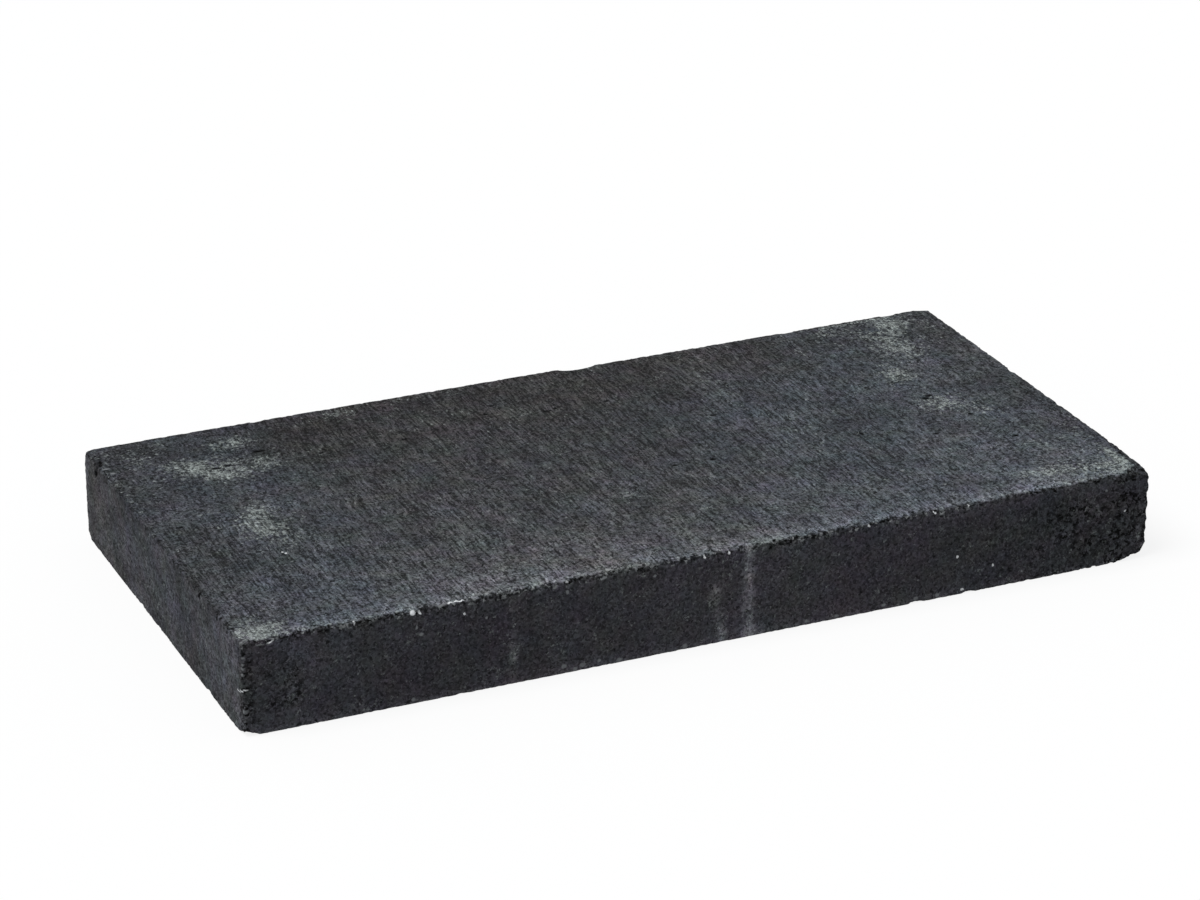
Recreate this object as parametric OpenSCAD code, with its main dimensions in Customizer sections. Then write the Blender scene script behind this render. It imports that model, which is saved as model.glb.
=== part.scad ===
// Flat wall coping stone: one slab of pressed concrete that is bedded in mortar along the top of a wall.
// X runs along the wall, Y across it with the back at +Y, and Z up from the bed face. Millimetres.

/* [Stone] */
// Length along the wall
stone_length = 500; // [400:10:1000]
// Width across the wall
stone_width = 250; // [180:10:400]
// Thickness from the bed face to the top face
stone_thickness = 50; // [35:1:100]

/* [Arrises] */
// Radius of the four upright corners
upright_r = 1.5; // [1:0.5:6]
// Radius of the arris round the top face
top_arris_r = 1.0; // [0.4:0.2:3]
// Radius of the arris round the bed face
bed_arris_r = 0.6; // [0.4:0.2:3]

/* [Broken corners] */
// Front right top corner, the long shallow break: its runs along X, Y and Z
front_right_top_wear = [6, 48, 1.4]; // [1:0.5:80]
// Front right top corner, the short steep break at its end
front_right_top_break = [17, 9, 3.5]; // [1:0.5:40]
// Front right bed corner, the long shallow break
front_right_bed_wear = [20, 12, 4.5]; // [1:0.5:40]
// Front right bed corner, the steep break at its end
front_right_bed_break = [6, 6.5, 11]; // [1:0.5:30]
// Front left bed corner
front_left_bed_break = [10, 9, 3]; // [1:0.5:30]
// Back left bed corner
back_left_bed_break = [3.5, 5.5, 4.5]; // [1:0.5:30]
// Back right top corner
back_right_top_break = [7, 6, 2.5]; // [1:0.5:30]

/* [Hidden] */
concrete = "#46484c";

// Chips along the arrises, each as [distance along the arris, length, bite]. The distance is from the
// left end on the long arrises and from the back on the end ones, or, where it is negative, from the
// right end or the front.
top_front_chips = [[67, 9, 1.6], [95, 7, 1.5], [128, 6, 1.2], [-276, 7, 1.3], [-263, 8, 1.2],
                   [-154, 11, 1.9], [-81, 10, 1.7]];
top_back_chips = [[96, 12, 1], [-218, 24, 3], [-88, 10, 1.2], [-24, 12, 1.4]];
top_left_chips = [[21, 9, 2.4], [-66, 9, 1.6], [-38, 10, 2]];
top_right_chips = [[102, 10, 1.2], [-96, 8, 1]];
bed_front_chips = [[112, 7, 1], [-136, 12, 1.4], [-106, 9, 1.3]];
bed_left_chips = [[92, 9, 1], [-52, 8, 1.1]];
bed_back_chips = [[150, 11, 1.3], [-120, 9, 1.1]];
bed_right_chips = [[70, 9, 1.2]];
// Chips up the front left and front right corners, by height above the bed face
front_left_chips = [[17, 7, 1.3], [31, 6, 1.1]];
front_right_chips = [[14, 8, 1.5], [26, 9, 1.6]];

round_fn = 48;

// A place on an arris of this length, for a distance measured from its start or, if negative, its end
function along(arris, distance) = (distance < 0 ? arris + distance : distance) - arris / 2;

// A rectangle centred on X and standing on Y = 0, with its lower and upper corners rounded
module eased_rectangle(w, h, low_r, high_r) {
    for (end = [[low_r, low_r], [high_r, h - high_r]], side = [-1, 1])
        translate([side * (w / 2 - end[0]), end[1]])
            circle(r = end[0], $fn = round_fn);
    translate([-w / 2, low_r])
        square([w, h - low_r - high_r]);
    translate([-w / 2 + low_r, 0])
        square([w - 2 * low_r, h / 2]);
    translate([-w / 2 + high_r, h / 2])
        square([w - 2 * high_r, h / 2]);
}

// The slab as it leaves the mould: its plan, its side view and its end view, each with eased corners
module eased_slab() {
    intersection() {
        translate([0, -stone_width / 2, 0])
            linear_extrude(stone_thickness)
                eased_rectangle(stone_length, stone_width, upright_r, upright_r);
        translate([0, stone_width / 2, 0])
            rotate([90, 0, 0])
                linear_extrude(stone_width)
                    eased_rectangle(stone_length, stone_thickness, bed_arris_r, top_arris_r);
        translate([-stone_length / 2, 0, 0])
            rotate([90, 0, 90])
                linear_extrude(stone_length)
                    eased_rectangle(stone_width, stone_thickness, bed_arris_r, top_arris_r);
    }
}

// What a flat break takes off a corner. side holds the signs of the corner's X and Y and is +1 for the
// top face or -1 for the bed face, and run is how far along each edge the break reaches.
module broken_corner(side, run) {
    slope = [1 / run.x, 1 / run.y, 1 / run.z];
    depth = 1 / norm(slope);
    reach = 3 * max(run);
    translate([side.x * stone_length / 2, side.y * stone_width / 2, side.z > 0 ? stone_thickness : 0])
        mirror([side.x < 0 ? 1 : 0, 0, 0])
            mirror([0, side.y < 0 ? 1 : 0, 0])
                mirror([0, 0, side.z < 0 ? 1 : 0])
                    rotate([0, acos(slope.z * depth), atan2(slope.y, slope.x)])
                        translate([-reach / 2, -reach / 2, -depth])
                            cube(reach);
}

// What a shell-shaped chip takes off an arris that runs along X, with the stone at +Y and -Z of it
module arris_chip(chip_length, bite) {
    ball_r = (pow(chip_length / 2, 2) + pow(bite, 2)) / (2 * bite);
    rotate([45, 0, 0])
        translate([0, 0, ball_r - bite])
            rotate([0, -90, 0])
                sphere(r = ball_r, $fn = round_fn);
}

// The chips of one arris, which runs along X and is centred on the origin
module arris_chips(arris, chips) {
    for (chip = chips)
        translate([along(arris, chip[0]), 0, 0])
            arris_chip(chip[1], chip[2]);
}

module all_chips() {
    translate([0, -stone_width / 2, stone_thickness])
        arris_chips(stone_length, top_front_chips);
    translate([0, stone_width / 2, stone_thickness])
        mirror([0, 1, 0])
            arris_chips(stone_length, top_back_chips);
    translate([0, -stone_width / 2, 0])
        mirror([0, 0, 1])
            arris_chips(stone_length, bed_front_chips);
    translate([0, stone_width / 2, 0])
        mirror([0, 1, 0])
            mirror([0, 0, 1])
                arris_chips(stone_length, bed_back_chips);
    translate([-stone_length / 2, 0, stone_thickness])
        rotate([0, 0, -90])
            arris_chips(stone_width, top_left_chips);
    translate([stone_length / 2, 0, stone_thickness])
        mirror([1, 0, 0])
            rotate([0, 0, -90])
                arris_chips(stone_width, top_right_chips);
    translate([-stone_length / 2, 0, 0])
        mirror([0, 0, 1])
            rotate([0, 0, -90])
                arris_chips(stone_width, bed_left_chips);
    translate([stone_length / 2, 0, 0])
        mirror([1, 0, 0])
            mirror([0, 0, 1])
                rotate([0, 0, -90])
                    arris_chips(stone_width, bed_right_chips);
    translate([-stone_length / 2, -stone_width / 2, stone_thickness / 2])
        rotate([0, -90, 0])
            arris_chips(stone_thickness, front_left_chips);
    translate([stone_length / 2, -stone_width / 2, stone_thickness / 2])
        mirror([1, 0, 0])
            rotate([0, -90, 0])
                arris_chips(stone_thickness, front_right_chips);
}

module coping_stone() {
    color(concrete)
        difference() {
            eased_slab();
            broken_corner([1, -1, 1], front_right_top_wear);
            broken_corner([1, -1, 1], front_right_top_break);
            broken_corner([1, -1, -1], front_right_bed_wear);
            broken_corner([1, -1, -1], front_right_bed_break);
            broken_corner([-1, -1, -1], front_left_bed_break);
            broken_corner([-1, 1, -1], back_left_bed_break);
            broken_corner([1, 1, 1], back_right_top_break);
            all_chips();
        }
}

coping_stone();
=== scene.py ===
"""Dresses the wall coping stone: weathered, pressed concrete with crumbled arrises, on a white floor.

Places on the stone are in millimetres, as (x, y, h): x from the left end, y from the back side and h above
the bed face. on_stone() and in_frame() turn them from and into the frame's own.
"""

import math

import bpy
import numpy as np
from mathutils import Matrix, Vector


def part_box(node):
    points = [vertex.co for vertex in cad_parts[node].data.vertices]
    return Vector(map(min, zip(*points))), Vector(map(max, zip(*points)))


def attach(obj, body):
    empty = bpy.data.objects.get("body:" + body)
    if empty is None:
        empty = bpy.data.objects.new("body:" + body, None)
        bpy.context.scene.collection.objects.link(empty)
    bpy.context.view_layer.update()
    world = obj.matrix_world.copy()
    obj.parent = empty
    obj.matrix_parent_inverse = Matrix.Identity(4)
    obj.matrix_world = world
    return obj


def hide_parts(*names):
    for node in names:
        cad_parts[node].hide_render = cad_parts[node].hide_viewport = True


MM = 0.001

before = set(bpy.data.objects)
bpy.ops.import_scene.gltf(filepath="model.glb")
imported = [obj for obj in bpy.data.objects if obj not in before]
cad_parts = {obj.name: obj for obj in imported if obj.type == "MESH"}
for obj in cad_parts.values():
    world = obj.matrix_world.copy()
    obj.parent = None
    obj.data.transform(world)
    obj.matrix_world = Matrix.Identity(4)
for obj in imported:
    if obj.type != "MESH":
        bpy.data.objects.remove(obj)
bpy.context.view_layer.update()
LOW, HIGH = (np.array(corner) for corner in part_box("coping_stone"))
LENGTH, WIDTH, THICKNESS = (HIGH - LOW) / MM

# ---------------------------------------------------------------- camera, light and floor

# Places and distances are in metres here, angles in degrees, and the lens and the sensor in millimetres. An
# azimuth of 0 is in front of the stone, and a positive one lies towards +X.
CAMERA_AIM = (0.0035, 0.0262, 0.0446)
CAMERA_DISTANCE = 2.136
CAMERA_AZIMUTH = -23.92
CAMERA_ELEVATION = 23.80
CAMERA_LENS = 121.0
CAMERA_SENSOR = 36.0
CAMERA_NEAR = 0.05

KEY_AZIMUTH = -88
KEY_ELEVATION = 62
KEY_STRENGTH = 2.1
KEY_SOFTNESS = 35
SKY_STRENGTH = 0.42
SKY_COLOR = (0.96, 0.98, 1, 1)
WHITE = (1, 1, 1, 1)

FLOOR_HALF = 30.0
# What the floor throws back on the stone
FLOOR_GREY = (0.5, 0.5, 0.5, 1)
# The share of the floor's shown white that light doesn't change. The rest carries the shadow.
FLOOR_GLOW = 0.85


def put_in_scene(name, data):
    thing = bpy.data.objects.new(name, data)
    bpy.context.scene.collection.objects.link(thing)
    return thing


def add_camera():
    azimuth, elevation = math.radians(CAMERA_AZIMUTH), math.radians(CAMERA_ELEVATION)
    data = bpy.data.cameras.new("camera")
    data.lens = CAMERA_LENS
    data.sensor_width = CAMERA_SENSOR
    data.clip_start = CAMERA_NEAR
    camera = put_in_scene("camera", data)
    away = (math.sin(azimuth) * math.cos(elevation), -math.cos(azimuth) * math.cos(elevation),
            math.sin(elevation))
    camera.location = [a + CAMERA_DISTANCE * d for a, d in zip(CAMERA_AIM, away)]
    camera.rotation_euler = (math.pi / 2 - elevation, 0, azimuth)
    bpy.context.scene.camera = camera


def add_key_light():
    data = bpy.data.lights.new("key", "SUN")
    data.energy = KEY_STRENGTH
    data.angle = math.radians(KEY_SOFTNESS)
    sun = put_in_scene("key", data)
    sun.rotation_euler = (math.pi / 2 - math.radians(KEY_ELEVATION), 0, math.radians(KEY_AZIMUTH))


class Nodes:
    """Adds nodes to a tree. An argument that is a socket is linked, and any other sets the input's value."""

    def __init__(self, tree):
        self.tree = tree
        tree.nodes.clear()

    def add(self, kind, inputs=(), out=0, **settings):
        node = self.tree.nodes.new(kind)
        for name, value in settings.items():
            setattr(node, name, value)
        for key, value in dict(inputs).items():
            if isinstance(value, bpy.types.NodeSocket):
                self.tree.links.new(value, node.inputs[key])
            else:
                node.inputs[key].default_value = value
        return node.outputs[out] if node.outputs else node

    def math(self, operation, a, b=0.0):
        return self.add("ShaderNodeMath", {0: a, 1: b}, operation=operation)

    def vector(self, operation, a, b=(0, 0, 0), out=0):
        return self.add("ShaderNodeVectorMath", {0: a, 1: b}, out=out, operation=operation)

    def ramp(self, value, start, end, low=0.0, high=1.0):
        """low up to start, high past end and a smooth step between them."""
        inputs = {"Value": value, "From Min": start, "From Max": end, "To Min": low, "To Max": high}
        return self.add("ShaderNodeMapRange", inputs, interpolation_type="SMOOTHSTEP")

    def noise(self, place, size, detail=2.0, roughness=0.5, stretch=(1, 1, 1)):
        """Noise with features about size mm across, longer by stretch along each axis. Its mean is 0.5."""
        vector = self.vector("DIVIDE", place, [size * s for s in stretch])
        inputs = {"Vector": vector, "Scale": 1.0, "Detail": detail, "Roughness": roughness}
        return self.add("ShaderNodeTexNoise", inputs, normalize=True)

    def cells(self, place, size, stretch=(1, 1, 1)):
        """Cells about size mm across, longer by stretch along each axis, each with a shade from 0 to 1."""
        vector = self.vector("DIVIDE", place, [size * s for s in stretch])
        return self.add("ShaderNodeTexVoronoi", {"Vector": vector, "Scale": 1.0}, out="Color", feature="F1")

    def mix(self, factor, a, b):
        return self.add("ShaderNodeMix", {0: factor, 6: a, 7: b}, out=2, data_type="RGBA")

    def blend(self, factor, a, b):
        """The number a where factor is 0, and b where it is 1."""
        return self.add("ShaderNodeMix", {0: factor, 2: a, 3: b}, data_type="FLOAT")

    def scale_color(self, color, factor):
        return self.add("ShaderNodeVectorMath", {0: color, "Scale": factor}, operation="SCALE")

    def attribute(self, name):
        return self.add("ShaderNodeAttribute", out="Fac", attribute_name=name)


def seen_directly(n):
    """1 for rays that show the background: those of the camera and those off gloss and through glass."""
    path = n.tree.nodes.new("ShaderNodeLightPath").outputs
    return n.math("MAXIMUM", path["Is Camera Ray"],
                  n.math("MAXIMUM", path["Is Glossy Ray"], path["Is Transmission Ray"]))


def add_world():
    world = bpy.data.worlds.new("sky")
    world.use_nodes = True
    n = Nodes(world.node_tree)
    white = n.add("ShaderNodeBackground", {"Color": WHITE, "Strength": 1.0})
    sky = n.add("ShaderNodeBackground", {"Color": SKY_COLOR, "Strength": SKY_STRENGTH})
    shown = n.add("ShaderNodeMixShader", {0: seen_directly(n), 1: sky, 2: white})
    n.add("ShaderNodeOutputWorld", {"Surface": shown})
    bpy.context.scene.world = world


def add_floor():
    material = bpy.data.materials.new("white_floor")
    material.use_nodes = True
    n = Nodes(material.node_tree)
    lit = n.add("ShaderNodeBsdfDiffuse", {"Color": WHITE})
    glow = n.add("ShaderNodeEmission", {"Color": WHITE, "Strength": 1.0})
    shown = n.add("ShaderNodeMixShader", {0: FLOOR_GLOW, 1: lit, 2: glow})
    bounce = n.add("ShaderNodeBsdfDiffuse", {"Color": FLOOR_GREY})
    surface = n.add("ShaderNodeMixShader", {0: seen_directly(n), 1: bounce, 2: shown})
    n.add("ShaderNodeOutputMaterial", {"Surface": surface})
    corners = [(x * FLOOR_HALF, y * FLOOR_HALF, 0) for x, y in ((-1, -1), (1, -1), (1, 1), (-1, 1))]
    mesh = bpy.data.meshes.new("floor")
    mesh.from_pydata(corners, [], [(0, 1, 2, 3)])
    mesh.materials.append(material)
    floor = put_in_scene("floor", mesh)


# ---------------------------------------------------------------- relief

VOXEL = 0.8 * MM
MOST_TRIANGLES = 192_000
# Added to the numbers of the noise's cells, so that none is negative
OFFSET = 1000
# No hollow is worked out where it would be shallower than this, in mm
LEAST_HOLLOW = 0.02
# How deep a hollow's bowl would go before its floor is cut flat, as a share of the hollow's depth
BOWL = 1.6

# Pits and cracks, each as (x, y, h, half length along x, along y and along h, depth)
PITS = [
    (56.3, 50.3, 50, 3.2, 1.4, 6, 1.2), (62.5, 49.3, 50, 2.4, 1.2, 6, 1.0),
    (84.3, 38.0, 50, 4.6, 1.6, 6, 1.2), (113.6, 53.4, 50, 1.8, 1.3, 6, 0.8),
    (160, 54.7, 50, 2.2, 1.2, 6, 0.8), (15.6, 112.3, 50, 2.8, 1.1, 6, 0.8),
    (64.2, 202, 50, 1.8, 1.0, 6, 0.5), (144.5, 92, 50, 1.6, 1.4, 6, 0.8),
    (438.4, 117.6, 50, 2.4, 1.8, 6, 1.5), (441.8, 114.8, 50, 2.3, 1.7, 6, 1.3),
    (450.5, 146, 50, 1.8, 1.5, 6, 1.0), (384.6, 146, 50, 1.4, 2.4, 6, 1.0),
    (420.7, 162, 50, 2.0, 1.3, 6, 0.8), (457.7, 181.6, 50, 2.3, 1.4, 6, 1.0),
    (243.8, 50.5, 50, 3.5, 1.3, 6, 0.9), (249, 49, 50, 1.3, 1.3, 6, 0.8), (211.7, 41, 50, 1.6, 1.6, 6, 0.9),
    (219, 31.7, 50, 2.1, 1.3, 6, 0.7), (322.7, 91.7, 50, 1.6, 1.5, 6, 0.8),
    (298, 144.6, 50, 2.2, 1.6, 6, 0.8), (278, 51, 50, 1.6, 1.1, 6, 0.6),
    (276.6, 143.4, 50, 1.9, 1.4, 6, 0.7), (3.4, 18.5, 50, 1.4, 2.2, 3, 1.0),
    (1, 21.5, 48.8, 2.8, 2.6, 2.8, 1.8), (0, 21.6, 46.2, 2.6, 2.2, 2.6, 1.7),
    (0, 19.2, 44, 2.4, 1.7, 2.4, 1.3), (0, 214, 48.6, 2.0, 1.6, 2.4, 1.0),
    (0, 188, 48.2, 2.0, 1.4, 2.6, 0.9), (0, 75.5, 23, 1.5, 1.3, 0.9, 0.8),
]


def hashed(cell, seed):
    """A number from 0 to 1 for each whole-numbered cell, always the same for the same cell and seed."""
    c = cell.astype(np.uint64)
    h = c[:, 0] * np.uint64(73856093) ^ c[:, 1] * np.uint64(19349663) ^ c[:, 2] * np.uint64(83492791)
    h = (h ^ np.uint64(seed * 2654435761 & 0xFFFFFFFF)) & np.uint64(0xFFFFFFFF)
    h = ((h ^ (h >> np.uint64(15))) * np.uint64(2246822519)) & np.uint64(0xFFFFFFFF)
    h = ((h ^ (h >> np.uint64(13))) * np.uint64(3266489917)) & np.uint64(0xFFFFFFFF)
    return ((h ^ (h >> np.uint64(16))) & np.uint64(0xFFFFFF)).astype(float) / 0xFFFFFF


def smooth_noise(place, size, seed):
    """Noise from 0 to 1 with features about size mm across, in two octaves."""
    total, weight = 0.0, 0.0
    for octave in range(2):
        q = place / (size / 2 ** octave) + OFFSET
        cell = np.floor(q)
        t = q - cell
        t = t * t * (3 - 2 * t)
        value = 0.0
        for corner in np.ndindex(2, 2, 2):
            share = np.prod(np.where(corner, t, 1 - t), axis=1)
            value = value + share * hashed(cell + corner, seed + octave)
        total = total + value * 0.5 ** octave
        weight += 0.5 ** octave
    return total / weight


def hollows(p, depth, spacing, radius, share, seed):
    """Hollows scattered through space, as deep as depth says at each place: share of the cells hold one."""
    result = np.zeros(len(p))
    used = depth > LEAST_HOLLOW
    q = p[used] / spacing + OFFSET
    cell = np.floor(q)
    deepest = np.zeros(len(q))
    for offset in np.ndindex(3, 3, 3):
        near = cell + np.array(offset) - 1
        centre = near + np.stack([hashed(near, seed + axis) for axis in range(3)], 1)
        size = radius * (0.5 + hashed(near, seed + 3)) / spacing
        distance = np.linalg.norm(q - centre, axis=1)
        bowl = np.clip(BOWL - BOWL * (distance / size) ** 2, 0, 1) * (hashed(near, seed + 4) < share)
        deepest = np.maximum(deepest, bowl)
    result[used] = deepest * depth[used]
    return result


def fade(distance, reach):
    """1 at no distance, and next to nothing at twice the reach."""
    return np.exp(-(distance / reach) ** 2)


def step(value, start, end):
    """0 up to start, 1 past end and a smooth step between them. start may be the larger of the two."""
    t = np.clip((value - start) / (end - start), 0, 1)
    return t * t * (3 - 2 * t)


def sides_of(p):
    """Distances in mm to the faces: left, right, back, front, bed and top."""
    x, y, h = p.T
    return np.stack([x, LENGTH - x, y, WIDTH - y, h, THICKNESS - h])


def honeycomb(p):
    """0 to 1: how open the concrete is, where the mix was poorly packed against the mould's front side."""
    x, y, h = p.T
    front = step(WIDTH - y, 8, 2)
    right_end = (0.35 * step(x, 380, 420) + 0.65 * step(x, 420, 460)) * step(THICKNESS - h, 3, 13)
    left_end = 0.7 * step(x, 35, 27) * step(x, 8, 15) * step(THICKNESS - h, 9, 15) * step(h, 9, 14)
    crumbled_corner = 0.9 * step(x, 8, 3) * step(h, 0, 4)
    return front * np.clip(right_end + left_end + crumbled_corner, 0, 1)


def crumbled_rim(p):
    """0 to 1 on the part of the top face that has crumbled away at the front right corner and beside it."""
    x, y, h = p.T
    corner = step(1 - (LENGTH - x) / 20 - (WIDTH - y) / 13, 0, 0.1)
    beside = np.interp(y, (198, 213, 239, WIDTH), (0, 2.4, 4.8, 7)) - (LENGTH - x)
    ragged = 3 * (smooth_noise(p, 4, seed=61) - 0.5)
    return np.maximum(corner, step(beside + ragged, 0, 0.8)) * step(THICKNESS - h, 5, 4)


def relief(p):
    """How far the surface lies under the CAD faces at each place. Depths and reaches are in mm."""
    left, right, back, front, _, top = sides_of(p)
    arris = np.sort(sides_of(p), axis=0)[1]
    top_front, right_front = fade(top + front, 3.0), fade(right + front, 4.0)
    # The faces' own unevenness, and the arrises, which are fuller than in CAD where they aren't worn
    depth = 0.06 * smooth_noise(p, 50, seed=1) + 0.08 * smooth_noise(p, 8, seed=11)
    depth -= 0.4 * fade(arris, 1.2) * np.clip(1 - top_front - right_front, 0, 1)
    # The rubbed top front arris, the nick near the middle of the back one and the back left corner
    depth += 0.5 * fade(top + front, 2.0) + 0.9 * fade(top + back, 3.0) * step(left, 278, 290)
    depth += 1.3 * fade(left + back + top, 4.0)
    # What has crumbled out, in two sizes
    worn = 0.15 * crumbled_rim(p) + 0.25 * fade(arris, 1.4) + 1.45 * top_front + 0.5 * fade(top + left, 3.0)
    worn += 0.8 * (fade(left + front, 3.2) + 0.35 * right_front)
    depth += hollows(p, worn, spacing=2.4, radius=1.5, share=0.55, seed=31)
    depth += hollows(p, 0.6 * worn, spacing=7.0, radius=3.2, share=0.3, seed=41)
    depth += hollows(p, 0.6 * honeycomb(p), spacing=2.8, radius=1.6, share=0.55, seed=51)
    for *centre_and_halves, deep in PITS:
        centre, halves = centre_and_halves[:3], centre_and_halves[3:]
        depth += deep * np.clip(1 - (((p - centre) / halves) ** 2).sum(axis=1), 0, 1)
    return depth


def evaluated_mesh(thing):
    graph = bpy.context.evaluated_depsgraph_get()
    return bpy.data.meshes.new_from_object(thing.evaluated_get(graph))


def with_modifier(thing, kind, **settings):
    """Applies one modifier to the object's own mesh."""
    modifier = thing.modifiers.new(kind.lower(), kind)
    for name, value in settings.items():
        setattr(modifier, name, value)
    bpy.context.view_layer.update()
    mesh = evaluated_mesh(thing)
    thing.modifiers.clear()
    thing.data = mesh


def vectors(collection, name):
    values = np.zeros(len(collection) * 3)
    collection.foreach_get(name, values)
    return values.reshape(-1, 3)


def on_stone(co):
    """Row-frame metres to (x, y, h) in mm."""
    return np.stack([co[:, 0] - LOW[0], HIGH[1] - co[:, 1], co[:, 2] - LOW[2]], 1) / MM


def make_stone():
    stone = put_in_scene("weathered_coping_stone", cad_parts["coping_stone"].data.copy())
    with_modifier(stone, "REMESH", mode="VOXEL", voxel_size=VOXEL)
    co, normals = vectors(stone.data.vertices, "co"), vectors(stone.data.vertex_normals, "vector")
    co = co - normals * (relief(on_stone(co)) * MM)[:, None]
    stone.data.vertices.foreach_set("co", np.clip(co, LOW, HIGH).ravel())
    stone.data.update()
    triangles = sum(len(p.vertices) - 2 for p in stone.data.polygons)
    with_modifier(stone, "DECIMATE", ratio=min(1, MOST_TRIANGLES / triangles))
    stone.data.shade_smooth()
    paint(stone.data)
    stone.data.materials.clear()
    stone.data.materials.append(concrete())
    return stone


# ---------------------------------------------------------------- finish

# Efflorescence on the top face, each patch as (x, y, half length along x, half length along y, strength)
TOP_SALT = [
    (60, 56, 20, 12, 1.15), (44, 42, 15, 10, 1.05), (60, 61, 7, 5, 0.4), (74, 23, 11, 7, 1.2),
    (82, 50, 9, 9, 0.75), (22, 20, 15, 14, 0.5), (55, 130, 15, 27, 1.0), (61, 107, 7, 8, 0.5),
    (471, 14, 10, 14, 1.35), (459, 46, 13, 20, 1.25), (439, 82, 11, 13, 1.15), (443, 127, 13, 11, 1.2),
    (434, 10, 14, 9, 0.8), (405, 30, 7, 9, 0.5), (447, 27, 12, 11, 0.4), (489, 22, 7, 16, 0.3),
    (452, 3, 24, 3, 1.3), (460, 143, 9, 9, 0.6), (384, 144, 5, 6, 0.45), (12, 239, 16, 12, 1.28),
    (450, 230, 17, 9, 0.85), (480, 235, 22, 12, 0.9), (492.5, 224, 2.5, 14, 1.6), (486, 242.5, 7, 2.5, 0.8),
    (238, 166, 8, 8, 0.65), (136, 9, 13, 8, 0.8), (190, 5, 36, 4, 0.35), (480, 200, 20, 22, 0.35),
    (340, 34, 8, 20, 0.25), (362, 110, 12, 40, 0.25),
]
# Paler and darker parts of the top face, each as (x, y, half length along x, half length along y, how much
# paler, as a share)
TOP_SHADES = [
    (75, 92, 34, 38, 0.2), (450, 85, 60, 38, 0.23), (355, 110, 40, 45, 0.13), (425, 175, 30, 30, 0.17),
    (150, 230, 55, 20, 0.24), (378, 234, 60, 16, -0.15), (95, 25, 38, 24, -0.14), (20, 70, 20, 30, 0.06),
]
# Runs of lime down the front face, each as (x, h, half width, half height, strength)
FRONT_RUNS = [
    (268.3, 22, 2.5, 90, 0.8), (268, 34, 2.2, 14, 0.4), (269, 2, 7, 6, 0.7), (249.5, 28, 2.2, 4, 0.9),
    (251, 18, 1.5, 8, 0.6), (253.5, 5, 1.8, 5, 1.4), (140, 20, 1.6, 22, 0.35), (140, 15, 1.6, 5, 0.7),
    (139, 46, 1.8, 5, 0.25), (266, 30, 45, 30, 0.06),
]
# Pale grains of aggregate on the front face and its top arris, each as (x, h, half width, half height)
FRONT_GRAINS = [
    (87.8, 48.9, 1.7, 1.3), (91.5, 48.4, 0.9, 0.9), (58, 49.6, 0.8, 1.6), (169.5, 49.3, 1.2, 0.9),
    (257, 48.7, 0.8, 0.8), (293.5, 49.3, 0.8, 0.8), (335.5, 48.8, 0.8, 0.8), (339.6, 50, 1.0, 0.7),
    (373.2, 48.9, 0.7, 0.7), (393, 49, 0.7, 0.8), (114.5, 43.4, 0.7, 0.7), (387, 21.8, 0.7, 0.9),
    (408, 13.1, 0.6, 1.0), (390.5, 2.6, 1.1, 0.8), (486, 29.2, 0.8, 0.8), (243.7, 49, 0.9, 0.9),
]
FAINT_FRONT_GRAINS = [
    (54, 49, 0.8, 1.2), (206.5, 49.2, 0.9, 1.6), (308.5, 49.3, 1.2, 1.0), (119.3, 47.9, 0.9, 0.7),
    (169, 44.4, 1.1, 1.2), (92, 36.9, 1.3, 0.9), (89.5, 41, 0.7, 1.2), (216, 44, 1.1, 0.7),
    (126, 39, 0.7, 0.7), (474, 43, 0.8, 0.9), (494.5, 12.8, 1.0, 0.7), (425.3, 6.3, 0.8, 0.7),
    (167, 4.2, 1.7, 1.4), (177, 2.8, 1.6, 1.3), (363.5, 2.6, 1.6, 1.2), (173, 1.4, 1.5, 1.2),
    (197, 1.8, 1.7, 1.2), (233, 2.0, 1.6, 1.3), (376, 2.2, 1.3, 1.2), (87, 2.4, 1.3, 1.1),
    (301, 2.4, 1.1, 1.0), (318, 2.0, 1.1, 1.0), (345, 2.6, 1.2, 1.0), (186, 3.6, 1.1, 1.0),
]
# Pale grains on the top face, each as (x, y, half length along x, half length along y)
TOP_GRAINS = [
    (53.1, 160.9, 0.8, 0.8), (54.2, 162.9, 0.8, 0.8), (14.5, 249.3, 2.1, 0.7), (111, 247.4, 5, 0.6),
]
FAINT_TOP_GRAINS = [
    (381.5, 198, 1.1, 1.2), (25.5, 202.6, 1.6, 0.5), (238, 168.5, 2.4, 1.3), (3.4, 28.2, 2.2, 1.1),
    (5, 35, 1.6, 1.2), (103, 248.2, 2.6, 0.6),
]
# A pale fibre across the front left corner, and pale grains on it, each as (y, h, half length along x,
# along y and along h)
CORNER_FIBRE = [
    (250, 24.9, 3.8, 1.6, 0.5), (247.6, 24.0, 0.9, 2.0, 0.45), (244, 22.6, 0.9, 2.6, 0.35),
]
CORNER_GRAINS = [
    (249, 42, 2.2, 1.4, 1.1), (249, 38.6, 2.2, 1.4, 0.8), (249, 36.2, 2.2, 1.4, 1.1),
    (249, 33.2, 2.0, 1.2, 0.9), (249.5, 13.6, 3.2, 1.2, 1.1),
]
# Where the tips of grains show pale along the top front arris: they come in from the first y to the second,
# and go out from the first x to the second
TIPS_Y = (235, 245)
TIPS_X = (370, 430)

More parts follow.
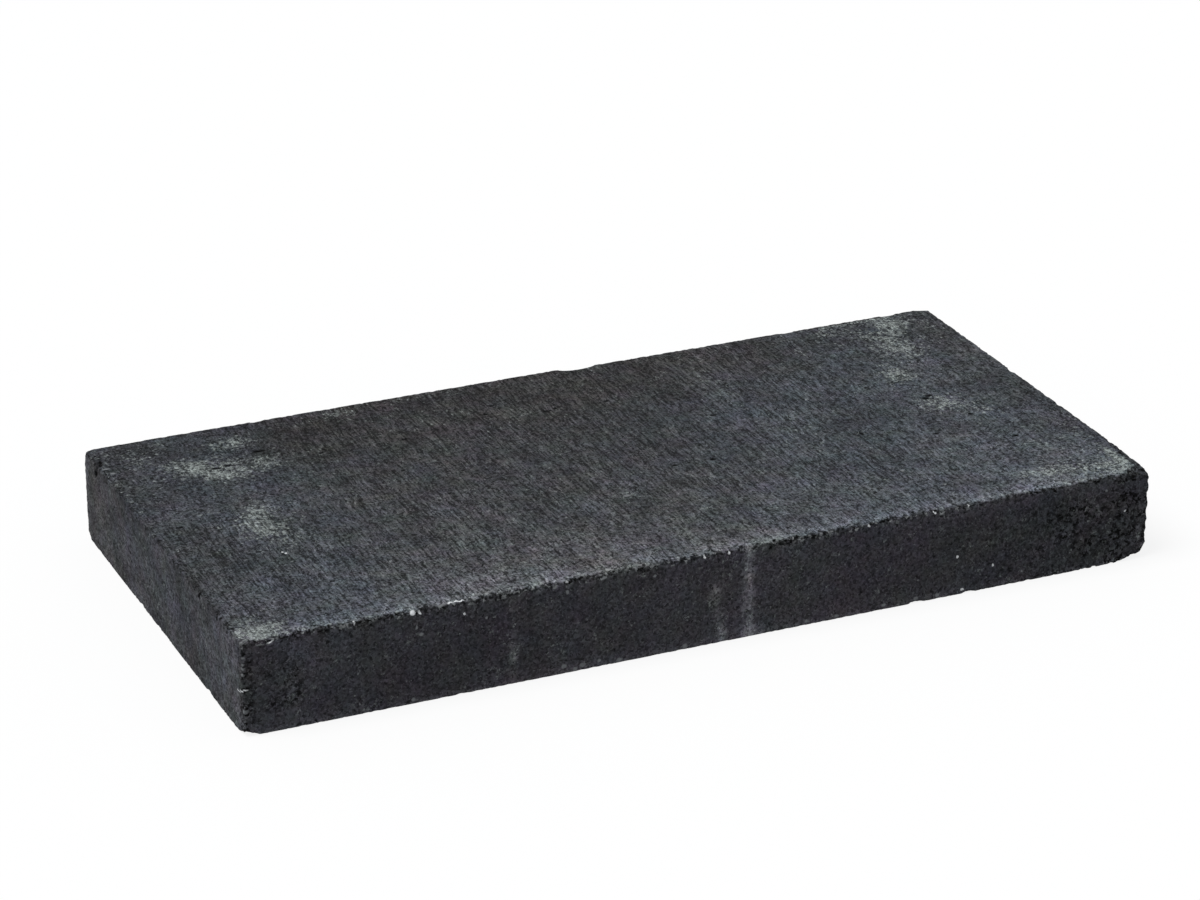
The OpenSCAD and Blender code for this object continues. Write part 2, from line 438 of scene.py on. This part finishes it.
# Colours of the finish. The warm ones are those of stained concrete.
TOP_COOL, TOP_WARM = (0.0475, 0.0523, 0.0598, 1), (0.0486, 0.0480, 0.0500, 1)
LEFT_COOL, LEFT_WARM = (0.0520, 0.0542, 0.0617, 1), (0.0545, 0.0540, 0.0572, 1)
SIDE_COOL, SIDE_WARM = (0.0468, 0.0477, 0.0552, 1), (0.0487, 0.0473, 0.0551, 1)
OPEN_MIX = (0.0434, 0.0445, 0.0486, 1)
# The efflorescence's colour, also used for the partly painted highlight along the top's arrises
SALT_AND_RIM_HIGHLIGHT = (0.232, 0.257, 0.247)
TIP = (0.18, 0.19, 0.195, 1)
FAINT_GRAIN = (0.20, 0.21, 0.22, 1)
GRAIN = (0.72, 0.74, 0.76, 1)
# How much a full run of lime adds to each channel, as a share of the concrete's own
RUN_GAIN = (2.36, 2.5, 2.22)
# How far the red, green and blue of the concrete drift apart
TINT = 0.5
# Textures: how far outlines waver and the sizes, both in mm, the lengths as a number of sizes, and the
# contrasts on the top face, on the left end and on the other faces
RAGGED_WAVER, MARK_WAVER, STREAK_WAVER = 2.6, 1.2, 1.4
GRIT_SIZE, CRUMB_SIZE, SAND_SIZE, TIP_SIZE, CLOUD_SIZE = 3.4, 2.1, 1.0, 1.8, 24
STREAK_SIZE, STRAND_SIZE, GROOVE_SIZE = 0.8, 0.6, 1.3
STREAK_STRETCH, STRAND_STRETCH = (1, 11, 1), (1, 26, 1)
GRIT_CONTRAST, SAND_CONTRAST, CLOUD_CONTRAST = (2.4, 3.3, 0.3), (2.15, 1.0, 0.72), (0.21, 0.36, 0.12)
# The speckle makes no place darker than this share of the color under it
DARKEST = 0.2
ROUGHNESS = 0.95
SPECULAR = 0.1


def blobs(u, v, patches):
    total = np.zeros(len(u))
    for pu, pv, ru, rv, strength in patches:
        total += strength * np.exp(-((u - pu) / ru) ** 2 - ((v - pv) / rv) ** 2)
    return total


def top_tone(x, y):
    """How pale the top face is, from dark towards the back to pale along the front."""
    middle = np.interp(y, (5, 22, 45, 80, 140, 180, 215, 235, 240, 246),
                       (0.75, 0.66, 0.77, 0.86, 0.97, 1.1, 1.34, 1.5, 1.8, 2.35))
    at_back = np.interp(x, (0, 55, 90, 326, 336, 347, 358, 500),
                        (1.15, 1.15, 0.98, 1.0, 1.3, 1.3, 1.18, 1.22))
    at_front = np.interp(x, (0, 30, 80, 280, 310, 400, 440, 485),
                         (0.9, 0.94, 1.03, 1.0, 1.06, 1.06, 1.14, 1.05))
    at_front *= 1 - 0.15 * step(x, 488, 493) * step(y, 225, 205)
    nearer_back = step(y, 150, 40)
    return middle * (nearer_back * at_back + (1 - nearer_back) * at_front)


def front_tone(x, h):
    """How much paler the front face is than its middle: along the arrises and towards its ends."""
    tone = 0.32 * fade(x - 26, 9) + 1.2 * np.exp(-h / 2) + 0.5 * np.exp((h - THICKNESS) / 1.4)
    tone += 0.1 * step(x, 440, 465) + 0.2 * step(x, 492, 498) - 0.04 * step(x, 60, 100)
    # Two darker patches
    return tone - 0.2 * fade(x - 118, 28) * fade(h - 22, 16) - 0.2 * fade(x - 388, 13) * fade(h - 27, 10)


def top_warmth(x, y):
    """0 to 1: how brown the top face is stained, most in the middle of its back half."""
    warmth = step(y, 80, 20) * step(x, 70, 130) * step(x, 450, 360)
    warmth += 0.6 * step(x, 340, 250) * step(x, 60, 130)
    warmth += 0.5 * step(x, 470, 490) * step(y, 160, 100) + 0.25 * step(x, 40, 15)
    return np.clip(warmth, 0, 1)


def side_warmth(x, y, h, front):
    """How brown the other faces are, fully so from 1 up: mid front, the back of the ends and low down."""
    return np.where(front > 0.5, step(x, 45, 90) * step(x, 450, 400),
                    0.9 * step(y, 60, 15) + 0.35 * step(h, 20, 5))


def streaked(x, y):
    """0 to 1: how strongly the top face is drawn out in streaks, least at its ends and along its front."""
    streaks = 1 - 0.35 * step(x, 380, 440) - 0.5 * step(x, 120, 70) * step(y, 140, 90)
    return streaks - 0.2 * step(y, 180, 220) - 0.3 * step(y, 241, 246)


def paint(mesh):
    """Stores on the vertices what varies slowly over the stone."""
    p = on_stone(vectors(mesh.vertices, "co"))
    x, y, h = p.T
    inset = np.min([x, LENGTH - x, y, WIDTH - y], axis=0)
    on_top = step(h + inset, THICKNESS - 1, THICKNESS + 1.2)
    front = 1 - step(WIDTH - y, 1.5, 4)
    # What lies under the CAD faces has broken away, and the concrete within has one shade
    broken = np.maximum(step(np.min(sides_of(p), axis=0), 0.2, 0.6), crumbled_rim(p))
    tone = 1 - on_top + on_top * top_tone(x, y)
    tone *= 1 + on_top * blobs(x, y, TOP_SHADES)
    # The ends and the back side, paler towards the front and along the back
    tone += (1 - on_top) * (1 - front) * (0.24 * step(y, 160, 230) + 0.4 * step(y, 40, 0) - 0.02)
    tone += front * (1 - on_top) * front_tone(x, h)
    tone += broken * (0.95 - 0.15 * on_top - tone)
    # Efflorescence along the top front arris and the back half of the top left one, partly a painted
    # highlight
    rim_salt_and_highlight = 0.45 * fade(y - 246.5, 2.5) + 0.45 * fade(x - 2, 3) * step(y, 160, 60)
    fields = {
        "past_arris": THICKNESS - h - inset,
        "salt_and_rim_highlight": on_top * (blobs(x, y, TOP_SALT) + rim_salt_and_highlight),
        "run": front * blobs(x, h, FRONT_RUNS),
        "tone": tone,
        "warmth": on_top * top_warmth(x, y) + (1 - on_top) * side_warmth(x, y, h, front),
        "streaky": on_top * streaked(x, y),
        "open_mix": np.maximum(honeycomb(p), 0.8 * broken),
        "broken": broken,
    }
    for name, values in fields.items():
        mesh.attributes.new(name, "FLOAT", "POINT").data.foreach_set("value", values.astype(np.float32))


def in_frame(x, y, h):
    """(x, y, h) to the frame's mm, which is what the material works in."""
    return (x + LOW[0] / MM, HIGH[1] / MM - y, h + LOW[2] / MM)


def front_spots(grains, half_y):
    return [(in_frame(x, WIDTH, h), (half_x, half_y, half_h)) for x, h, half_x, half_h in grains]


def top_spots(grains, half_h):
    return [(in_frame(x, y, THICKNESS), (half_x, half_y, half_h)) for x, y, half_x, half_y in grains]


def corner_spots(grains):
    return [(in_frame(0, y, h), halves) for y, h, *halves in grains]


class ConcreteNodes(Nodes):
    """The nodes of the concrete, with what several parts of its finish share."""

    def __init__(self, tree):
        super().__init__(tree)
        self.place = self.scale_color(self.add("ShaderNodeTexCoord", out="Object"), 1 / MM)
        self.x, self.y, _ = self.add("ShaderNodeSeparateXYZ", {0: self.place}).node.outputs
        # Places that waver, for the ragged outlines of sand and voids, of single marks and of streaks
        wobble = self.vector("SUBTRACT", self.color_noise(0.7, 2.0), (0.5, 0.5, 0.5))
        wave = self.scale_color(self.color_noise(0.06, 1.0), 5.0)
        self.ragged_place = self.vector("ADD", self.place, self.scale_color(wobble, RAGGED_WAVER))
        self.mark_place = self.vector("ADD", self.place, self.scale_color(wobble, MARK_WAVER))
        self.streak_place = self.vector("ADD", self.place, self.scale_color(wobble, STREAK_WAVER))
        self.streak_place = self.vector("ADD", self.streak_place, wave)

        self.past_arris = self.attribute("past_arris")
        self.streaky = self.attribute("streaky")
        self.open_mix = self.attribute("open_mix")
        self.sand = self.cells(self.ragged_place, SAND_SIZE)
        self.crumbs = self.noise(self.place, CRUMB_SIZE, 3, 0.6, stretch=(1, 1.5, 1))
        # 1 on the top face and on the left end, the first with a ragged edge
        ragged = self.swing(self.noise(self.place, GRIT_SIZE, 4, 0.75), 15.0)
        self.top_side = self.ramp(self.math("ADD", self.past_arris, ragged), 0.3, -0.6)
        self.left_side = self.ramp(self.x, in_frame(1.4, 0, 0)[0], in_frame(0.8, 0, 0)[0])

    def color_noise(self, scale, detail, roughness=0.5):
        """Noise in three channels, with about scale features to the mm."""
        inputs = {"Vector": self.place, "Scale": scale, "Detail": detail, "Roughness": roughness}
        return self.add("ShaderNodeTexNoise", inputs, out="Color")

    def swing(self, value, strength):
        """A value that lies round 0.5, made to swing round 0 and strength times as far."""
        return self.math("MULTIPLY", self.math("SUBTRACT", value, 0.5), strength)

    def by_side(self, top, left, others):
        return self.blend(self.top_side, self.blend(self.left_side, others, left), top)

    def nearest(self, spots):
        """Distance to the nearest of the spots, each as (centre, half lengths). At a spot's edge it is 1."""
        nearest = None
        for centre, halves in spots:
            scale = [1 / half for half in halves]
            inputs = {0: self.mark_place, 1: scale, 2: [-c * k for c, k in zip(centre, scale)]}
            offset = self.add("ShaderNodeVectorMath", inputs, operation="MULTIPLY_ADD")
            distance = self.vector("LENGTH", offset, out=1)
            nearest = distance if nearest is None else self.math("MINIMUM", nearest, distance)
        return nearest

    def base_color(self):
        warmth = self.attribute("warmth")
        color = self.mix(warmth, SIDE_COOL, SIDE_WARM)
        color = self.mix(self.left_side, color, self.mix(warmth, LEFT_COOL, LEFT_WARM))
        color = self.mix(self.top_side, color, self.mix(warmth, TOP_COOL, TOP_WARM))
        return self.mix(self.open_mix, color, OPEN_MIX)

    def speckle(self):
        """The shade of grit and sand, and of the streaks and thin strands that run over the top face."""
        grit = self.noise(self.place, GRIT_SIZE, 4, 0.75, stretch=(1, 1.6, 1))
        coarse = self.swing(grit, self.by_side(*GRIT_CONTRAST))
        where_not_streaky = self.math("MULTIPLY", self.math("SUBTRACT", 1.0, self.streaky), 0.8)
        fine = self.swing(self.sand, self.math("ADD", self.by_side(*SAND_CONTRAST), where_not_streaky))
        in_patches = self.ramp(self.noise(self.place, 25, 3, 0.6), 0.35, 0.65, low=1.2, high=2.2)
        streaks = self.swing(self.cells(self.streak_place, STREAK_SIZE, STREAK_STRETCH),
                             self.math("MULTIPLY", self.streaky, in_patches))
        strands = self.swing(self.cells(self.mark_place, STRAND_SIZE, STRAND_STRETCH), self.streaky)
        drawn_out = self.math("ADD", streaks, self.math("MULTIPLY", strands, 1.3))
        texture = self.math("ADD", self.math("ADD", coarse, fine), drawn_out)
        return self.math("MAXIMUM", self.math("ADD", texture, 1.0), DARKEST)

    def clouds(self):
        """The broad, soft unevenness of the shade."""
        clouds = self.ramp(self.noise(self.place, CLOUD_SIZE, 4, 0.6), 0.3, 0.7, low=-1.0)
        return self.math("ADD", self.math("MULTIPLY", clouds, self.by_side(*CLOUD_CONTRAST)), 1.0)

    def voids(self):
        """Painted shade in the voids of an open mix: dark in them, a little paler between them, and else 1.
        """
        wide = self.ramp(self.noise(self.ragged_place, 3.2, 3, 0.7), 0.47, 0.43, low=-0.15, high=0.7)
        small = self.ramp(self.cells(self.ragged_place, 1.7), 0.29, 0.24, low=-0.2, high=0.95)
        in_patches = self.ramp(self.noise(self.place, 13, 2, 0.6), 0.38, 0.58, low=0.35, high=1.4)
        voids = self.math("MULTIPLY", self.math("MAXIMUM", wide, small), in_patches)
        return self.math("SUBTRACT", 1.0, self.math("MULTIPLY", voids, self.open_mix))

    def tint(self):
        """A color round white, which drifts slowly over the stone."""
        drift = self.scale_color(self.color_noise(0.05, 6.0, 0.75), TINT)
        return self.vector("ADD", drift, [1 - TINT / 2] * 3)

    def salted_and_rim_highlit(self, color, grain):
        """The color with the top's efflorescence, shaded by grain and partly a painted highlight on its
        arrises, and the front's runs of lime.
        """
        whole = self.math("SUBTRACT", 1.0, self.attribute("broken"))
        salt_and_rim_highlight = self.math("MULTIPLY", self.attribute("salt_and_rim_highlight"), whole)
        specks, patches = self.noise(self.place, 2.8, 4, 0.75), self.noise(self.place, 11, 3, 0.6)
        for texture, strength in ((specks, 4.2), (patches, 1.6), (self.sand, 0.6)):
            salt_and_rim_highlight = self.math("ADD", salt_and_rim_highlight, self.math("MULTIPLY", texture, strength))
        color = self.mix(self.ramp(salt_and_rim_highlight, 3.6, 4.85, high=0.8), color, self.scale_color(SALT_AND_RIM_HIGHLIGHT, grain))
        uneven = self.ramp(self.noise(self.place, 3.5, 4, 0.75), 0.35, 0.6, low=0.4, high=1.3)
        run = self.math("MULTIPLY", self.attribute("run"), uneven)
        return self.vector("MULTIPLY", color, self.vector("ADD", self.scale_color(RUN_GAIN, run), (1, 1, 1)))

    def marked(self, color):
        """The color with grain tips along the top front arris, the single grains and painted shade in the
        pits.
        """
        band = self.ramp(self.math("ABSOLUTE", self.math("ADD", self.past_arris, -0.5)), 2.4, 1.2)
        tips = self.math("MULTIPLY", self.ramp(self.cells(self.ragged_place, TIP_SIZE), 0.76, 0.81), band)
        along_y = self.ramp(self.y, *[in_frame(0, y, 0)[1] for y in TIPS_Y])
        along_x = self.ramp(self.x, *[in_frame(x, 0, 0)[0] for x in reversed(TIPS_X)])
        color = self.mix(self.math("MULTIPLY", tips, self.math("MULTIPLY", along_y, along_x)), color, TIP)
        faint = front_spots(FAINT_FRONT_GRAINS, half_y=3) + top_spots(FAINT_TOP_GRAINS, half_h=2)
        faint += corner_spots(CORNER_GRAINS)
        color = self.mix(self.ramp(self.nearest(faint), 1.2, 0.5, high=0.85), color, FAINT_GRAIN)
        grains = front_spots(FRONT_GRAINS, half_y=3) + top_spots(TOP_GRAINS, half_h=3)
        grains += corner_spots(CORNER_FIBRE)
        color = self.mix(self.ramp(self.nearest(grains), 1.1, 0.7), color, GRAIN)
        # Painted shade in the pits: towards their middles the colour darkens to a tenth
        pits = [(in_frame(*pit[:3]), pit[3:6]) for pit in PITS]
        return self.scale_color(color, self.ramp(self.nearest(pits), 0.62, 1.1, low=0.1))

    def height(self, void_shade):
        """The relief too fine for the mesh, in mm."""
        grooves = self.noise(self.streak_place, GROOVE_SIZE, 2, 0.6, STREAK_STRETCH)
        grooves = self.math("MULTIPLY", grooves, self.streaky)
        height = self.math("ADD", self.crumbs, self.math("MULTIPLY", grooves, 0.8))
        return self.math("ADD", height, self.math("MULTIPLY", void_shade, 0.8))


def concrete():
    """The stone's material: its colors, their textures, what lies on them and the finest relief."""
    material = bpy.data.materials.new("concrete")
    material.use_nodes = True
    n = ConcreteNodes(material.node_tree)
    # The voids' factor is painted shade in the voids of an open mix; the bump takes it as height too
    speckle, void_shade = n.speckle(), n.voids()
    # Painted shade in small pores: darker where the bump's crumbs are lowest, and in scattered dots
    pore_shade = n.ramp(n.crumbs, 0.36, 0.40, low=0.6)
    knobs = n.ramp(n.crumbs, 0.60, 0.64, low=1.0, high=n.blend(n.top_side, 1.1, 1.35))
    dot_shade = n.ramp(n.noise(n.ragged_place, 3.2, 1), 0.28, 0.33, low=0.3)
    color = n.base_color()
    for shade in (speckle, pore_shade, knobs, dot_shade, n.clouds(), n.attribute("tone"), void_shade):
        color = n.scale_color(color, shade)
    color = n.vector("MULTIPLY", color, n.tint())
    color = n.salted_and_rim_highlit(color, n.math("MULTIPLY", n.blend(0.15, speckle, 1.0), pore_shade))
    color = n.marked(color)
    bump = n.add("ShaderNodeBump", {"Strength": 1.0, "Distance": MM, "Height": n.height(void_shade)})
    shader = n.add("ShaderNodeBsdfPrincipled", {"Base Color": color, "Roughness": ROUGHNESS,
                                                "Specular IOR Level": SPECULAR, "Normal": bump})
    n.add("ShaderNodeOutputMaterial", {"Surface": shader})
    return material


add_camera()
add_world()
add_floor()
add_key_light()

stone = make_stone()
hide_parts("coping_stone")
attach(stone, "root")

bpy.context.scene.view_settings.view_transform = "Standard"
